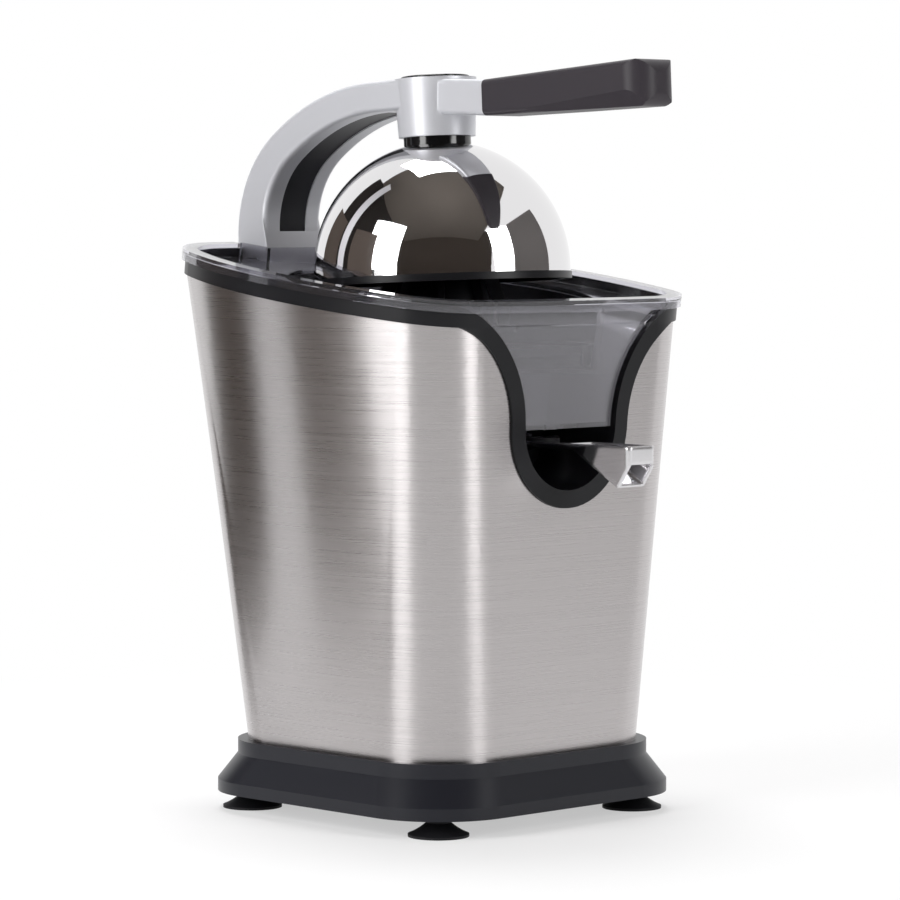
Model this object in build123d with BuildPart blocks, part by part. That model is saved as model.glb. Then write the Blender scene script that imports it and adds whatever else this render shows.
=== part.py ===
from build123d import *
import os
from math import asin, cos, radians, sin, sqrt, tan

os.makedirs("parts", exist_ok=True)

# Electric citrus juicer with a lever press. Millimetres, +Z up, front towards -Y.
# The origin lies on the table under the axis of the squeezing cone.

# Stand and base
foot_height = 9.0
foot_inset = 24.0
foot_radius = 14.5
foot_stem = 3.5
base_side = 180.0
base_corner = 41.0
base_band = 6.0
base_slope = 12.5
collar_step = 7.0
collar_height = 7.0
base_wall = 3.0
plate_thickness = 3.0
plate_gap = 0.4
web_thickness = 3.0
web_margin = 21.0
vent_length = 34.0
vent_width = 3.0
vent_pitch = 8.0
gland_radius = 5.5
cord_bore = 3.6
gland_height = 21.0

# Tapered steel body
steel_wall = 0.8
body_inset = 4.0
body_depth_inset = 6.0
body_bow = 2.0
body_corner = 38.0
steel_inset = 3.0

# Rim of the bowl tray, which slopes up to the back
rim_height = 262.0
rim_tilt = 6.8
rim_front_spread = 9.0
rim_mid_spread = 28.0
rim_back_spread = -10.0
rim_front_margin = 17.0
rim_back_margin = 11.0
rim_bow = 3.0
rim_widest = 10.0
rim_corner_front = 38.0
rim_corner_back = 52.0

# Moulded upper housing with its trim and the spout recess
trim_proud = 1.2
trim_top = 2.5
trim_bottom = 12.5
trim_wall = 3.2
deck_thickness = 3.0
tongue_depth = 8.0
tongue_wall = 2.3
tongue_gap = 3.2
recess_half = 30.5
recess_z = 191.0
flare_radius = 60.5
frame_width = 8.5
pocket_wall = 2.5
pocket_depth = 51.0
well_gap = 1.8
well_wall = 2.5
well_floor = 211.0
floor_thickness = 3.0
post_inset_x = 15.0
post_inset_y = 29.0
post_radius = 5.0
post_screw = 1.8
seam_gap = 0.1

# Clear juice tray
tray_wall = 2.2
tray_gap = 0.8
lip_depth = 2.2
skirt_wall = 1.5
skirt_depth = 5.5
tray_floor_depth = 8.7
bowl_radius = 75.0
bowl_rise = 5.0
chute_floor = 190.0
chute_step = 3.0
chute_inset = 1.5
chimney_bore = 15.0
chimney_height = 12.0
outlet_inset = 24.0
outlet_bore = 6.0
outlet_drop = 1.0
arm_gap_tray = 3.5
arm_wall_rise = 0.6

# Strainer
strainer_gap = 1.5
strainer_hole = 21.0
strainer_wall = 2.0
strainer_seat = 0.2
strainer_rise = 8.0
strainer_height = 4.0
slot_count = 36
slot_width = 2.2
slot_inner = 40.0
slot_margin = 7.5

# Squeezing cone
cone_rise = 8.0
cone_flange_radius = 36.0
cone_flange = 3.0
cone_core_radius = 27.0
cone_rib_radius = 33.0
cone_height = 56.0
cone_ribs = 8
cone_rib_width = 3.0
cone_hub_radius = 9.0
cone_wall = 3.0
cone_skirt = 4.0

# Drive shaft, bush, seal and switch
shaft_radius = 5.0
shaft_flats = 8.0
flats_gap = 0.2
shaft_rise = 6.0
shaft_in_cone = 22.0
bush_radius = 8.0
boss_radius = 13.0
boss_height = 15.0
running_gap = 0.05
seal_radius = 11.0
seal_height = 3.0
press_travel = 2.5
rest_gap = 0.3
plunger_radius = 3.7
plunger_flange = 6.0
plunger_drop = 12.0
finger_reach = 17.0
finger_half = 2.5
spring_wire = 1.0
spring_radius = 4.5
spring_turns = 5
bracket_half = 6.5
bracket_plate = 3.0
spring_length = 14.0
switch_y = -14.5
switch_length = 9.0

# Gear train
gear_module = 1.0
pinion_teeth = 12
wheel_teeth = 42
idler_teeth = 12
output_teeth = 48
tooth_share = 0.21
pressure_angle = 20.0
addendum = 0.9
dedendum = 1.15
gear_hub = 7.0
axle_radius = 3.0
case_height = 40.0
case_wall = 3.0
cover_gap = 5.0
cover_thickness = 6.0
wheel_rise = 7.0
wheel_face = 10.0
pinion_extra = 1.0
output_drop = 4.0
output_face = 10.0
rotor_bearing = -45.0
case_margin = 4.0

# Motor
rotor_shaft = 3.0
rotor_radius = 17.0
air_gap = 0.8
stack_side = 72.0
stack_corner = 16.0
stack_drop = 85.0
stack_height = 40.0
coil_outer = 29.0
coil_height = 4.0
shield_thickness = 6.0
shield_gap = 5.0
fan_drop = 23.0
fan_height = 8.0
fan_radius = 24.0
fan_blades = 9
fan_blade = 1.6
standoff_radius = 4.0
standoff_circle = 24.0
standoff_angles = (100.0, 250.0, 340.0)
standoff_screw = 1.5
hang_circle = 16.0
lug_radius = 5.0
lug_height = 12.0
lug_reach = 3.5

# Drip stop spout
spout_pin_inset = 42.0
spout_pin_drop = 9.0
spout_pin_radius = 2.0
spout_eye = 4.5
spout_half = 9.0
spout_thickness = 3.0
spout_bend = 6.0
nose_drop = 16.5
nose_lip = 35.0
nose_reach = 42.5
nose_wall = 1.6
nose_mouth = 11.0
finger_pad = 5.5
nose_round = 2.4
pad_radius = 9.0
pad_height = 1.5
spout_ear = 6.0

# Lever hinge and rest position
hinge_margin = 40.0
hinge_rise = 0.0
lever_lift = 3.0
hinge_pin = 3.5
hinge_bush = 5.5
hinge_eye = 10.5
arm_half = 19.0
arm_clear = 1.2
cheek_thickness = 3.2
cheek_eye = 7.4
bracket_depth = 22.0
flange_width = 12.0
notch_clear = 1.0

# Lever arm, measured from the hinge with the press level
arm_top = 89.5
arm_under = 74.5
leg_back = 15.0
leg_front = 7.0
bend_angle = 57.0
bend_outer = 62.0
crown_outer = 133.0
bend_inner = 42.0
crown_inner = 118.0
insert_half = 8.8
insert_depth = 4.0
insert_sink = 0.6
hub_radius = 20.2
hub_foot_radius = 18.8
hub_height = 28.6
arm_round = 2.6
stub_length = 46.0
stub_half = 13.0
stub_drop = 4.0
tang_half = 6.0
tang_height = 9.0
tang_length = 54.0
cap_radius = 16.8
cap_height = 3.2
cap_pocket = 2.0
bolt_radius = 3.0
bolt_head = 6.0
bolt_head_height = 4.0

# Grip
grip_length = 104.0
grip_half = 14.0
grip_height = 17.4
grip_flare = 4.6
grip_drop = 12.7
grip_round = 3.0
grip_end_round = 11.5
grip_tip_round = 6.5
bevel_start = 8.0
bevel_rise = 8.6
bevel_width = 6.5
grip_gap = 0.2

# Press dome
dome_margin = 12.2
dome_skirt = 3.0
dome_wall = 1.2
dome_ring = 3.5
dome_edge = 0.6
collar_radius = 16.5
collar_gap = 1.8
liner_step = 5.3
liner_wall = 2.5
liner_rise = 38.9

# Heights and places that follow from the sizes above
foot_spread = base_side / 2 - foot_inset
collar_side = base_side - 2 * collar_step
body_half = collar_side / 2 - body_inset
body_depth_half = collar_side / 2 - body_depth_inset
web_opening = body_half - web_margin
post_x = body_half - post_inset_x
post_y = body_depth_half - post_inset_y
hinge_y = bowl_radius + hinge_margin
hinge_z = rim_height + hinge_rise
press_reach = hinge_y
rim_front = bowl_radius + rim_front_margin
rim_back = hinge_y + rim_back_margin
rim_front_half = bowl_radius + rim_front_spread
rim_mid_half = bowl_radius + rim_mid_spread
rim_back_half = bowl_radius + rim_back_spread
well_radius = bowl_radius + tray_wall + well_gap
pocket_back = rim_front - pocket_depth
chute_back = pocket_back + chute_step
outlet_y = outlet_inset - rim_front
spout_pin_y = spout_pin_inset - rim_front
spout_pin_z = recess_z - spout_pin_drop
bowl_floor = well_floor + bowl_rise
chimney_top = bowl_floor + chimney_height
strainer_plate = bowl_floor + strainer_rise
strainer_top = strainer_plate + strainer_height
boss_top = well_floor + boss_height
cone_base = boss_top + cone_rise
cone_tip = cone_base + cone_height
shaft_top = cone_base + shaft_in_cone
cover_top = well_floor - cover_gap
case_top = cover_top - cover_thickness
case_floor = case_top - case_height
shaft_bottom = case_floor + shaft_rise
wheel_low = case_floor + wheel_rise
wheel_high = wheel_low + wheel_face
pinion_low = wheel_low - pinion_extra
pinion_high = wheel_high + pinion_extra
output_high = case_top - output_drop
output_low = output_high - output_face
plunger_low = case_floor - plunger_drop
stack_low = case_floor - stack_drop
fan_low = stack_low - fan_drop
dome_radius = bowl_radius - dome_margin
liner_radius = dome_radius - liner_step
base_bottom = foot_height
band_top = base_bottom + base_band
slope_top = band_top + base_slope
steel_bottom = slope_top + collar_height
plate_top = base_bottom + plate_thickness
web_low = steel_bottom - web_thickness
cut_top = rim_height + rim_back
front_reach = 2 * rim_front
rim_rise = tan(radians(rim_tilt))
outer_reach = 2 * rim_back

rim_plane = Plane(
    origin=(0, 0, rim_height),
    x_dir=(1, 0, 0),
    z_dir=(0, -sin(radians(rim_tilt)), cos(radians(rim_tilt))),
)


def rim_level(depth):
    return rim_plane.offset(-depth)


def rim_z(y, depth):
    return rim_height + rim_rise * y - depth / cos(radians(rim_tilt))


def three_point_circle(a, b, c):
    # Centre and radius of the circle through three points.
    d = 2 * (a[0] * (b[1] - c[1]) + b[0] * (c[1] - a[1]) + c[0] * (a[1] - b[1]))
    squares = [p[0] ** 2 + p[1] ** 2 for p in (a, b, c)]
    x = (squares[0] * (b[1] - c[1]) + squares[1] * (c[1] - a[1]) + squares[2] * (a[1] - b[1])) / d
    y = (squares[0] * (c[0] - b[0]) + squares[1] * (a[0] - c[0]) + squares[2] * (b[0] - a[0])) / d
    return (x, y), sqrt((a[0] - x) ** 2 + (a[1] - y) ** 2)


def corner_centre(first, first_radius, second, second_radius, side):
    # The point at the given distances from two centres that lies to the right, at the front or back.
    dx = second[0] - first[0]
    dy = second[1] - first[1]
    span = sqrt(dx**2 + dy**2)
    along = (span**2 + first_radius**2 - second_radius**2) / (2 * span)
    across = sqrt(first_radius**2 - along**2)
    x = first[0] + along * dx / span
    y = first[1] + along * dy / span
    one = (x + across * dy / span, y - across * dx / span)
    two = (x - across * dy / span, y + across * dx / span)
    return max(one, two, key=lambda p: p[0] + side * p[1])


def reach(centre, through, radius):
    # The point at a radius from a centre, in the direction of another point.
    dx = through[0] - centre[0]
    dy = through[1] - centre[1]
    span = sqrt(dx**2 + dy**2)
    return (centre[0] + radius * dx / span, centre[1] + radius * dy / span)


def barrel_plan(front_half, mid_half, back_half, front, back, bow, widest, corner_front, corner_back, inset):
    # Four bowed sides joined by round corners, drawn in the sketch that is open.
    side, side_radius = three_point_circle((front_half, -front), (mid_half, widest), (back_half, back))
    front_radius = (front_half**2 + bow**2) / (2 * bow)
    back_radius = (back_half**2 + bow**2) / (2 * bow)
    front_centre = (0, front_radius - front - bow)
    back_centre = (0, back + bow - back_radius)
    near = corner_centre(front_centre, front_radius - corner_front, side, side_radius - corner_front, -1)
    far = corner_centre(back_centre, back_radius - corner_back, side, side_radius - corner_back, 1)
    front_end = reach(front_centre, near, front_radius - inset)
    side_start = reach(side, near, side_radius - inset)
    side_end = reach(side, far, side_radius - inset)
    back_start = reach(back_centre, far, back_radius - inset)
    near_mid = reach(near, ((front_end[0] + side_start[0]) / 2, (front_end[1] + side_start[1]) / 2), corner_front - inset)
    far_mid = reach(far, ((side_end[0] + back_start[0]) / 2, (side_end[1] + back_start[1]) / 2), corner_back - inset)
    side_mid = reach(side, ((side_start[0] + side_end[0]) / 2, (side_start[1] + side_end[1]) / 2), side_radius - inset)
    right = ((front_end, near_mid, side_start), (side_start, side_mid, side_end), (side_end, far_mid, back_start))
    with BuildLine() as outline:
        ThreePointArc((-front_end[0], front_end[1]), (0, -front - bow + inset), front_end)
        for start, middle, end in right:
            ThreePointArc(start, middle, end)
        ThreePointArc(back_start, (0, back + bow - inset), (-back_start[0], back_start[1]))
        for start, middle, end in reversed(right):
            ThreePointArc((-end[0], end[1]), (-middle[0], middle[1]), (-start[0], start[1]))
    make_face(outline.edges())


def lower_plan(inset):
    corner_x = body_half - body_bow
    barrel_plan(
        corner_x, body_half, corner_x, body_depth_half, body_depth_half, body_bow, 0, body_corner, body_corner, inset
    )


def rim_plan(inset):
    barrel_plan(
        rim_front_half,
        rim_mid_half,
        rim_back_half,
        rim_front,
        rim_back,
        rim_bow,
        rim_widest,
        rim_corner_front,
        rim_corner_back,
        inset,
    )


def rim_ring(low, high, outer_inset, inner_inset):
    # A band that follows the rim between two depths below it.
    with BuildPart() as band:
        with BuildSketch(rim_level(low)):
            rim_plan(outer_inset)
        extrude(amount=low - high)
        with BuildSketch(rim_level(low)):
            rim_plan(inner_inset)
        extrude(amount=low - high, mode=Mode.SUBTRACT)
    return band.part


def tapered_body(inset):
    # The steel body's outer form, drawn in by the inset.
    with BuildPart() as body:
        with BuildSketch(Plane.XY.offset(steel_bottom)):
            lower_plan(inset)
        with BuildSketch(rim_level(trim_bottom)):
            rim_plan(steel_inset + inset)
        loft(ruled=True)
    return body.part


def recess_outline(grow):
    # U shaped spout recess that flares out into the rim, seen from the front.
    flare_x = recess_half + flare_radius
    with BuildLine() as outline:
        CenterArc((0, recess_z), recess_half + grow, 180, 180)
        right = CenterArc((flare_x, recess_z), flare_radius - grow, 180, -90)
        left = CenterArc((-flare_x, recess_z), flare_radius - grow, 0, 90)
        Polyline(right @ 1, (flare_x, cut_top), (-flare_x, cut_top), left @ 1)
    make_face(outline.edges())


def recess_prism(grow, back, low):
    # The recess as a solid that runs from the given back face out through the front.
    with BuildPart() as prism:
        with BuildSketch(Plane.XZ.offset(back)):
            recess_outline(grow)
            with Locations((0, low)):
                Rectangle(outer_reach, cut_top, align=(Align.CENTER, Align.MIN), mode=Mode.INTERSECT)
        extrude(amount=front_reach)
    return prism.part


def square_plan(side, corner):
    RectangleRounded(side, side, corner)


def tooth_points(teeth, turn):
    # Straight sided teeth about the pitch circle, the first one centred on the turn angle.
    pitch_radius = gear_module * teeth / 2
    slope = tan(radians(pressure_angle))
    half = tooth_share * 3.1416 * gear_module
    root = pitch_radius - dedendum * gear_module
    tip = pitch_radius + addendum * gear_module
    root_half = (half + slope * dedendum * gear_module) / root
    tip_half = (half - slope * addendum * gear_module) / tip
    corners = ((root, -root_half), (tip, -tip_half), (tip, tip_half), (root, root_half))
    points = []
    for tooth in range(teeth):
        centre = radians(turn + 360 * tooth / teeth)
        for radius, angle in corners:
            points.append((radius * cos(centre + angle), radius * sin(centre + angle)))
    return points


def gear_face(teeth, turn):
    with BuildLine() as outline:
        Polyline(*tooth_points(teeth, turn), close=True)
    make_face(outline.edges())


def finish(builder, name):
    builder.part.label = name
    export_step(builder.part, "parts/" + name + ".step")


post_places = [(x, y) for x in (-post_x, post_x) for y in (-post_y, post_y)]
foot_places = [(x, y) for x in (-foot_spread, foot_spread) for y in (-foot_spread, foot_spread)]
base_screw_reach = web_opening + post_radius + base_wall
base_screw_places = [(base_screw_reach, 0), (-base_screw_reach, 0), (0, base_screw_reach), (0, -base_screw_reach)]

# Gear centres: the output wheel is on the cone's axis, the idler stands behind it
idler_y = gear_module * (idler_teeth + output_teeth) / 2
pinion_reach = gear_module * (pinion_teeth + wheel_teeth) / 2
rotor_x = pinion_reach * cos(radians(rotor_bearing))
rotor_y = idler_y + pinion_reach * sin(radians(rotor_bearing))
standoff_places = [
    (rotor_x + standoff_circle * cos(radians(a)), rotor_y + standoff_circle * sin(radians(a))) for a in standoff_angles
]
hang_places = [
    (rotor_x + hang_circle * cos(radians(a)), rotor_y + hang_circle * sin(radians(a))) for a in standoff_angles
]
stack_high = stack_low + stack_height
upper_shield = stack_high + shield_gap
upper_shield_top = upper_shield + shield_thickness
lower_shield_top = stack_low - shield_gap
lower_shield = lower_shield_top - shield_thickness
output_radius = gear_module * (output_teeth / 2 + addendum)
wheel_radius = gear_module * (wheel_teeth / 2 + addendum)
motor_reach = standoff_circle + standoff_radius
lug_places = [
    (-output_radius - case_margin - lug_reach, 0),
    (0, idler_y + wheel_radius + case_margin + lug_reach),
    (rotor_x + motor_reach + lug_reach, rotor_y),
]

gland_back = base_side / 2 + base_wall
gland_front = collar_side / 2 - 2 * base_wall

# Base
with BuildPart() as base_skirt:
    with BuildSketch(Plane.XY.offset(base_bottom)):
        square_plan(base_side, base_corner)
    extrude(amount=base_band)
    with BuildSketch(Plane.XY.offset(band_top)):
        square_plan(base_side, base_corner)
    with BuildSketch(Plane.XY.offset(slope_top)):
        square_plan(collar_side, base_corner)
    loft(ruled=True)
    with BuildSketch(Plane.XY.offset(slope_top)):
        square_plan(collar_side, base_corner)
    extrude(amount=collar_height)
    with BuildSketch(Plane.XY.offset(steel_bottom)):
        lower_plan(steel_wall + seam_gap)
    extrude(amount=tongue_depth)
    with BuildSketch(Plane.XY.offset(base_bottom)):
        square_plan(base_side - 2 * base_wall, base_corner - base_wall)
    extrude(amount=base_band, mode=Mode.SUBTRACT)
    with BuildSketch(Plane.XY.offset(band_top)):
        square_plan(base_side - 2 * base_wall, base_corner - base_wall)
    with BuildSketch(Plane.XY.offset(slope_top)):
        square_plan(collar_side - 2 * base_wall, base_corner - base_wall)
    loft(ruled=True, mode=Mode.SUBTRACT)
    with BuildSketch(Plane.XY.offset(slope_top)):
        square_plan(collar_side - 2 * base_wall, base_corner - base_wall)
    extrude(amount=web_low - slope_top, mode=Mode.SUBTRACT)
    with BuildSketch(Plane.XY.offset(steel_bottom)):
        lower_plan(steel_wall + seam_gap + base_wall)
    extrude(amount=tongue_depth, mode=Mode.SUBTRACT)
    with BuildSketch(Plane.XY.offset(web_low)):
        Circle(web_opening)
    extrude(amount=web_thickness, mode=Mode.SUBTRACT)
    with BuildSketch(Plane.XY.offset(plate_top)):
        with Locations(*base_screw_places):
            Circle(post_radius)
    extrude(amount=web_low - plate_top)
    with BuildSketch(Plane.XY.offset(plate_top)):
        with Locations(*base_screw_places):
            Circle(post_screw)
    extrude(amount=web_low - plate_top, mode=Mode.SUBTRACT)
    with BuildSketch(Plane.XY.offset(web_low)):
        with Locations(*post_places):
            Circle(post_screw)
    extrude(amount=web_thickness, mode=Mode.SUBTRACT)
    with BuildSketch(Plane.XZ.offset(-gland_front)):
        with Locations((0, gland_height)):
            Circle(gland_radius)
    extrude(amount=-base_side, mode=Mode.SUBTRACT)
finish(base_skirt, "base_skirt")

plate_side = base_side - 2 * base_wall - 2 * plate_gap
with BuildPart() as base_plate:
    with BuildSketch(Plane.XY.offset(base_bottom)):
        square_plan(plate_side, base_corner - base_wall - plate_gap)
        with Locations(*foot_places):
            Circle(foot_stem, mode=Mode.SUBTRACT)
        with Locations(*base_screw_places):
            Circle(post_screw, mode=Mode.SUBTRACT)
        with Locations((rotor_x, rotor_y)):
            with GridLocations(0, vent_pitch, 1, 5):
                SlotOverall(vent_length, vent_width, mode=Mode.SUBTRACT)
    extrude(amount=plate_thickness)
    with BuildSketch(Plane.XY.offset(base_bottom)):
        with Locations(*base_screw_places):
            Circle(2 * post_screw)
    extrude(amount=plate_thickness / 2, mode=Mode.SUBTRACT)
finish(base_plate, "base_plate")

with BuildPart() as base_screws:
    with BuildSketch(Plane.XY.offset(base_bottom)):
        with Locations(*base_screw_places):
            Circle(2 * post_screw)
    extrude(amount=plate_thickness / 2)
    with BuildSketch(Plane.XY.offset(base_bottom)):
        with Locations(*base_screw_places):
            Circle(post_screw)
    extrude(amount=web_low - base_bottom - base_wall)
finish(base_screws, "base_screws")

with BuildPart() as body_screws:
    with BuildSketch(Plane.XY.offset(web_low - base_wall)):
        with Locations(*post_places):
            Circle(2 * post_screw)
    extrude(amount=base_wall)
    with BuildSketch(Plane.XY.offset(web_low)):
        with Locations(*post_places):
            Circle(post_screw)
    extrude(amount=web_thickness + collar_height + tongue_depth)
finish(body_screws, "body_screws")

# A suction cup with its neck and a barbed stem, turned about its own axis
foot_neck = foot_radius * 0.42
with BuildPart() as suction_cup:
    with BuildSketch(Plane.XZ):
        with BuildLine():
            Polyline((0, foot_height * 0.35), (foot_radius * 0.8, 0), (foot_radius, 0), (foot_radius, foot_height * 0.14))
            ThreePointArc(
                (foot_radius, foot_height * 0.14),
                (foot_radius * 0.66, foot_height * 0.42),
                (foot_neck, foot_height * 0.72),
            )
            Polyline(
                (foot_neck, foot_height * 0.72),
                (foot_neck, foot_height),
                (foot_stem, foot_height),
                (foot_stem, plate_top),
                (foot_stem * 1.5, plate_top),
                (foot_stem, plate_top + foot_stem),
                (0, plate_top + foot_stem),
                (0, foot_height * 0.35),
            )
        make_face()
    revolve(axis=Axis.Z)

with BuildPart() as suction_feet:
    with Locations(*[(x, y, 0) for x, y in foot_places]):
        add(suction_cup.part)
finish(suction_feet, "suction_feet")

with BuildPart() as cord_gland:
    with BuildSketch(Plane.XZ.offset(-gland_back)):
        with Locations((0, gland_height)):
            Circle(gland_radius)
            Circle(cord_bore, mode=Mode.SUBTRACT)
    extrude(amount=gland_back - gland_front)
    chamfer(cord_gland.edges().filter_by(GeomType.CIRCLE).group_by(Axis.Y)[-1], (gland_radius - cord_bore) / 4)
finish(cord_gland, "cord_gland")

# Forms of the body that the shells are cut from
steel_form = tapered_body(0)
steel_inner = tapered_body(steel_wall)
trim_form = tapered_body(-trim_proud)
trim_inner = tapered_body(trim_wall - trim_proud)
hinge_notch_half = arm_half + arm_clear
notch_floor = hinge_z - hinge_eye - notch_clear

with BuildPart() as steel_shell:
    add(steel_form)
    add(steel_inner, mode=Mode.SUBTRACT)
    with BuildSketch(Plane.XZ):
        recess_outline(frame_width + seam_gap)
    extrude(amount=front_reach, mode=Mode.SUBTRACT)
    with BuildSketch(Plane.XZ.offset(-body_half)):
        with Locations((0, notch_floor)):
            Rectangle(2 * hinge_notch_half, cut_top, align=(Align.CENTER, Align.MIN))
    extrude(amount=-outer_reach, mode=Mode.SUBTRACT)
finish(steel_shell, "steel_shell")

# Upper housing
with BuildPart() as recess_frame:
    add(trim_form)
    add(trim_inner, mode=Mode.SUBTRACT)
    with BuildSketch(Plane.XZ):
        recess_outline(frame_width)
    extrude(amount=front_reach, mode=Mode.INTERSECT)

pocket_outside = recess_prism(pocket_wall, pocket_back - pocket_wall, 0)
with BuildPart() as spout_pocket:
    add(pocket_outside)
    add(steel_form, mode=Mode.INTERSECT)

deck_top = trim_bottom - deck_thickness
with BuildPart() as tray_well:
    with BuildSketch(Plane.XY.offset(well_floor)):
        Circle(well_radius + well_wall)
    extrude(amount=outer_reach)
    split(bisect_by=rim_level(deck_top), keep=Keep.BOTTOM)

trim_band = rim_ring(trim_bottom, trim_top, steel_inset - trim_proud, steel_inset - trim_proud + trim_wall)
tongue_inset = steel_inset + steel_wall + tongue_gap
tongue_band = rim_ring(trim_bottom + tongue_depth, trim_bottom, tongue_inset, tongue_inset + tongue_wall)
recess_cut = recess_prism(0, pocket_back, 0)
cheek_outer = hinge_notch_half + cheek_thickness
deck_slot_front = hinge_y - hinge_eye - arm_gap_tray
deck_slot_back = hinge_y + cheek_eye + arm_clear
flange_front = deck_slot_front - bracket_depth / 2
hinge_screw_places = [
    (x, y)
    for x in (-cheek_outer - flange_width / 2, cheek_outer + flange_width / 2)
    for y in (flange_front + flange_width / 2, hinge_y)
]
spout_pin_half = recess_half

with BuildPart() as upper_housing:
    add(trim_band)
    add(tongue_band)
    with BuildSketch(rim_level(trim_bottom)):
        rim_plan(steel_inset)
    extrude(amount=deck_thickness)
    add(recess_frame.part)
    add(spout_pocket.part)
    add(tray_well.part)
    for x, y in post_places:
        with BuildSketch(Plane.XY.offset(steel_bottom)):
            with Locations((x, y)):
                Circle(post_radius)
        extrude(amount=rim_z(y, trim_bottom) + deck_thickness / 2 - steel_bottom)
    add(recess_cut, mode=Mode.SUBTRACT)
    with BuildSketch(Plane.XY.offset(well_floor + floor_thickness)):
        Circle(well_radius)
    extrude(amount=outer_reach, mode=Mode.SUBTRACT)
    with BuildSketch(Plane.XY.offset(well_floor)):
        Circle(boss_radius)
    extrude(amount=boss_top - well_floor)
    with BuildSketch(Plane.XY.offset(cover_top)):
        with Locations(*hang_places):
            Circle(standoff_radius)
    extrude(amount=well_floor - cover_top)
    with BuildSketch(Plane.XY.offset(well_floor)):
        Circle(bush_radius)
    extrude(amount=boss_top - well_floor, mode=Mode.SUBTRACT)
    with BuildSketch(Plane.XY.offset(steel_bottom)):
        with Locations(*post_places):
            Circle(post_screw)
    extrude(amount=collar_height + tongue_depth, mode=Mode.SUBTRACT)
    with BuildSketch(Plane.XY.offset(cover_top)):
        with Locations(*hang_places):
            Circle(standoff_screw)
    extrude(amount=well_floor - cover_top + floor_thickness / 2, mode=Mode.SUBTRACT)
    with BuildSketch(Plane.XY.offset(notch_floor)):
        with Locations((0, deck_slot_front)):
            Rectangle(2 * (cheek_outer + seam_gap), deck_slot_back - deck_slot_front, align=(Align.CENTER, Align.MIN))
            Rectangle(2 * hinge_notch_half, outer_reach, align=(Align.CENTER, Align.MIN))
    extrude(amount=outer_reach, mode=Mode.SUBTRACT)
    with BuildSketch(rim_level(trim_bottom)):
        with Locations((0, deck_slot_front)):
            Rectangle(2 * (cheek_outer + flange_width + rest_gap), outer_reach, align=(Align.CENTER, Align.MIN))
    extrude(amount=-2 * tongue_depth, mode=Mode.SUBTRACT)
    with BuildSketch(rim_level(trim_bottom)):
        with Locations(*hinge_screw_places):
            Circle(standoff_screw)
    extrude(amount=deck_thickness / 2, mode=Mode.SUBTRACT)
    with BuildSketch(Plane.YZ.offset(-spout_pin_half)):
        with Locations((spout_pin_y, spout_pin_z)):
            Circle(spout_pin_radius)
    extrude(amount=2 * spout_pin_half, mode=Mode.SUBTRACT)
finish(upper_housing, "upper_housing")

# Clear juice tray
chute_form = tapered_body(chute_inset)
chute_hollow = tapered_body(chute_inset + tray_wall)
wall_inset = steel_inset - trim_proud + trim_wall + rest_gap
wall_inner = wall_inset + tray_wall
chute_overlap = tray_floor_depth + trim_wall + tray_wall

chute_outside = recess_prism(-tray_gap, chute_back - tray_wall, chute_floor)
chute_inside = recess_prism(-tray_gap - tray_wall, chute_back, chute_floor + tray_wall)
front_band = rim_ring(chute_overlap, lip_depth, wall_inset, wall_inner)
tray_lip = rim_ring(lip_depth, 0, 0, wall_inner)
tray_skirt = rim_ring(skirt_depth, lip_depth, 0, skirt_wall)
tray_side = rim_ring(tray_floor_depth, lip_depth, wall_inset, wall_inner)

with BuildPart() as tray_chute:
    add(chute_outside)
    add(chute_form, mode=Mode.INTERSECT)

with BuildPart() as tray_chute_hollow:
    add(chute_inside)
    add(chute_hollow, mode=Mode.INTERSECT)

with BuildPart() as tray_front_wall:
    add(front_band)
    add(chute_outside, mode=Mode.INTERSECT)

with BuildPart() as tray_front_hollow:
    with BuildSketch(rim_level(chute_overlap)):
        rim_plan(wall_inner)
    extrude(amount=outer_reach)
    add(chute_inside, mode=Mode.INTERSECT)

with BuildPart() as tray_bowl:
    with BuildSketch(Plane.XY.offset(bowl_floor)):
        Circle(bowl_radius + tray_wall)
    extrude(amount=outer_reach)
    split(bisect_by=rim_level(tray_floor_depth - tray_wall), keep=Keep.BOTTOM)

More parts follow.
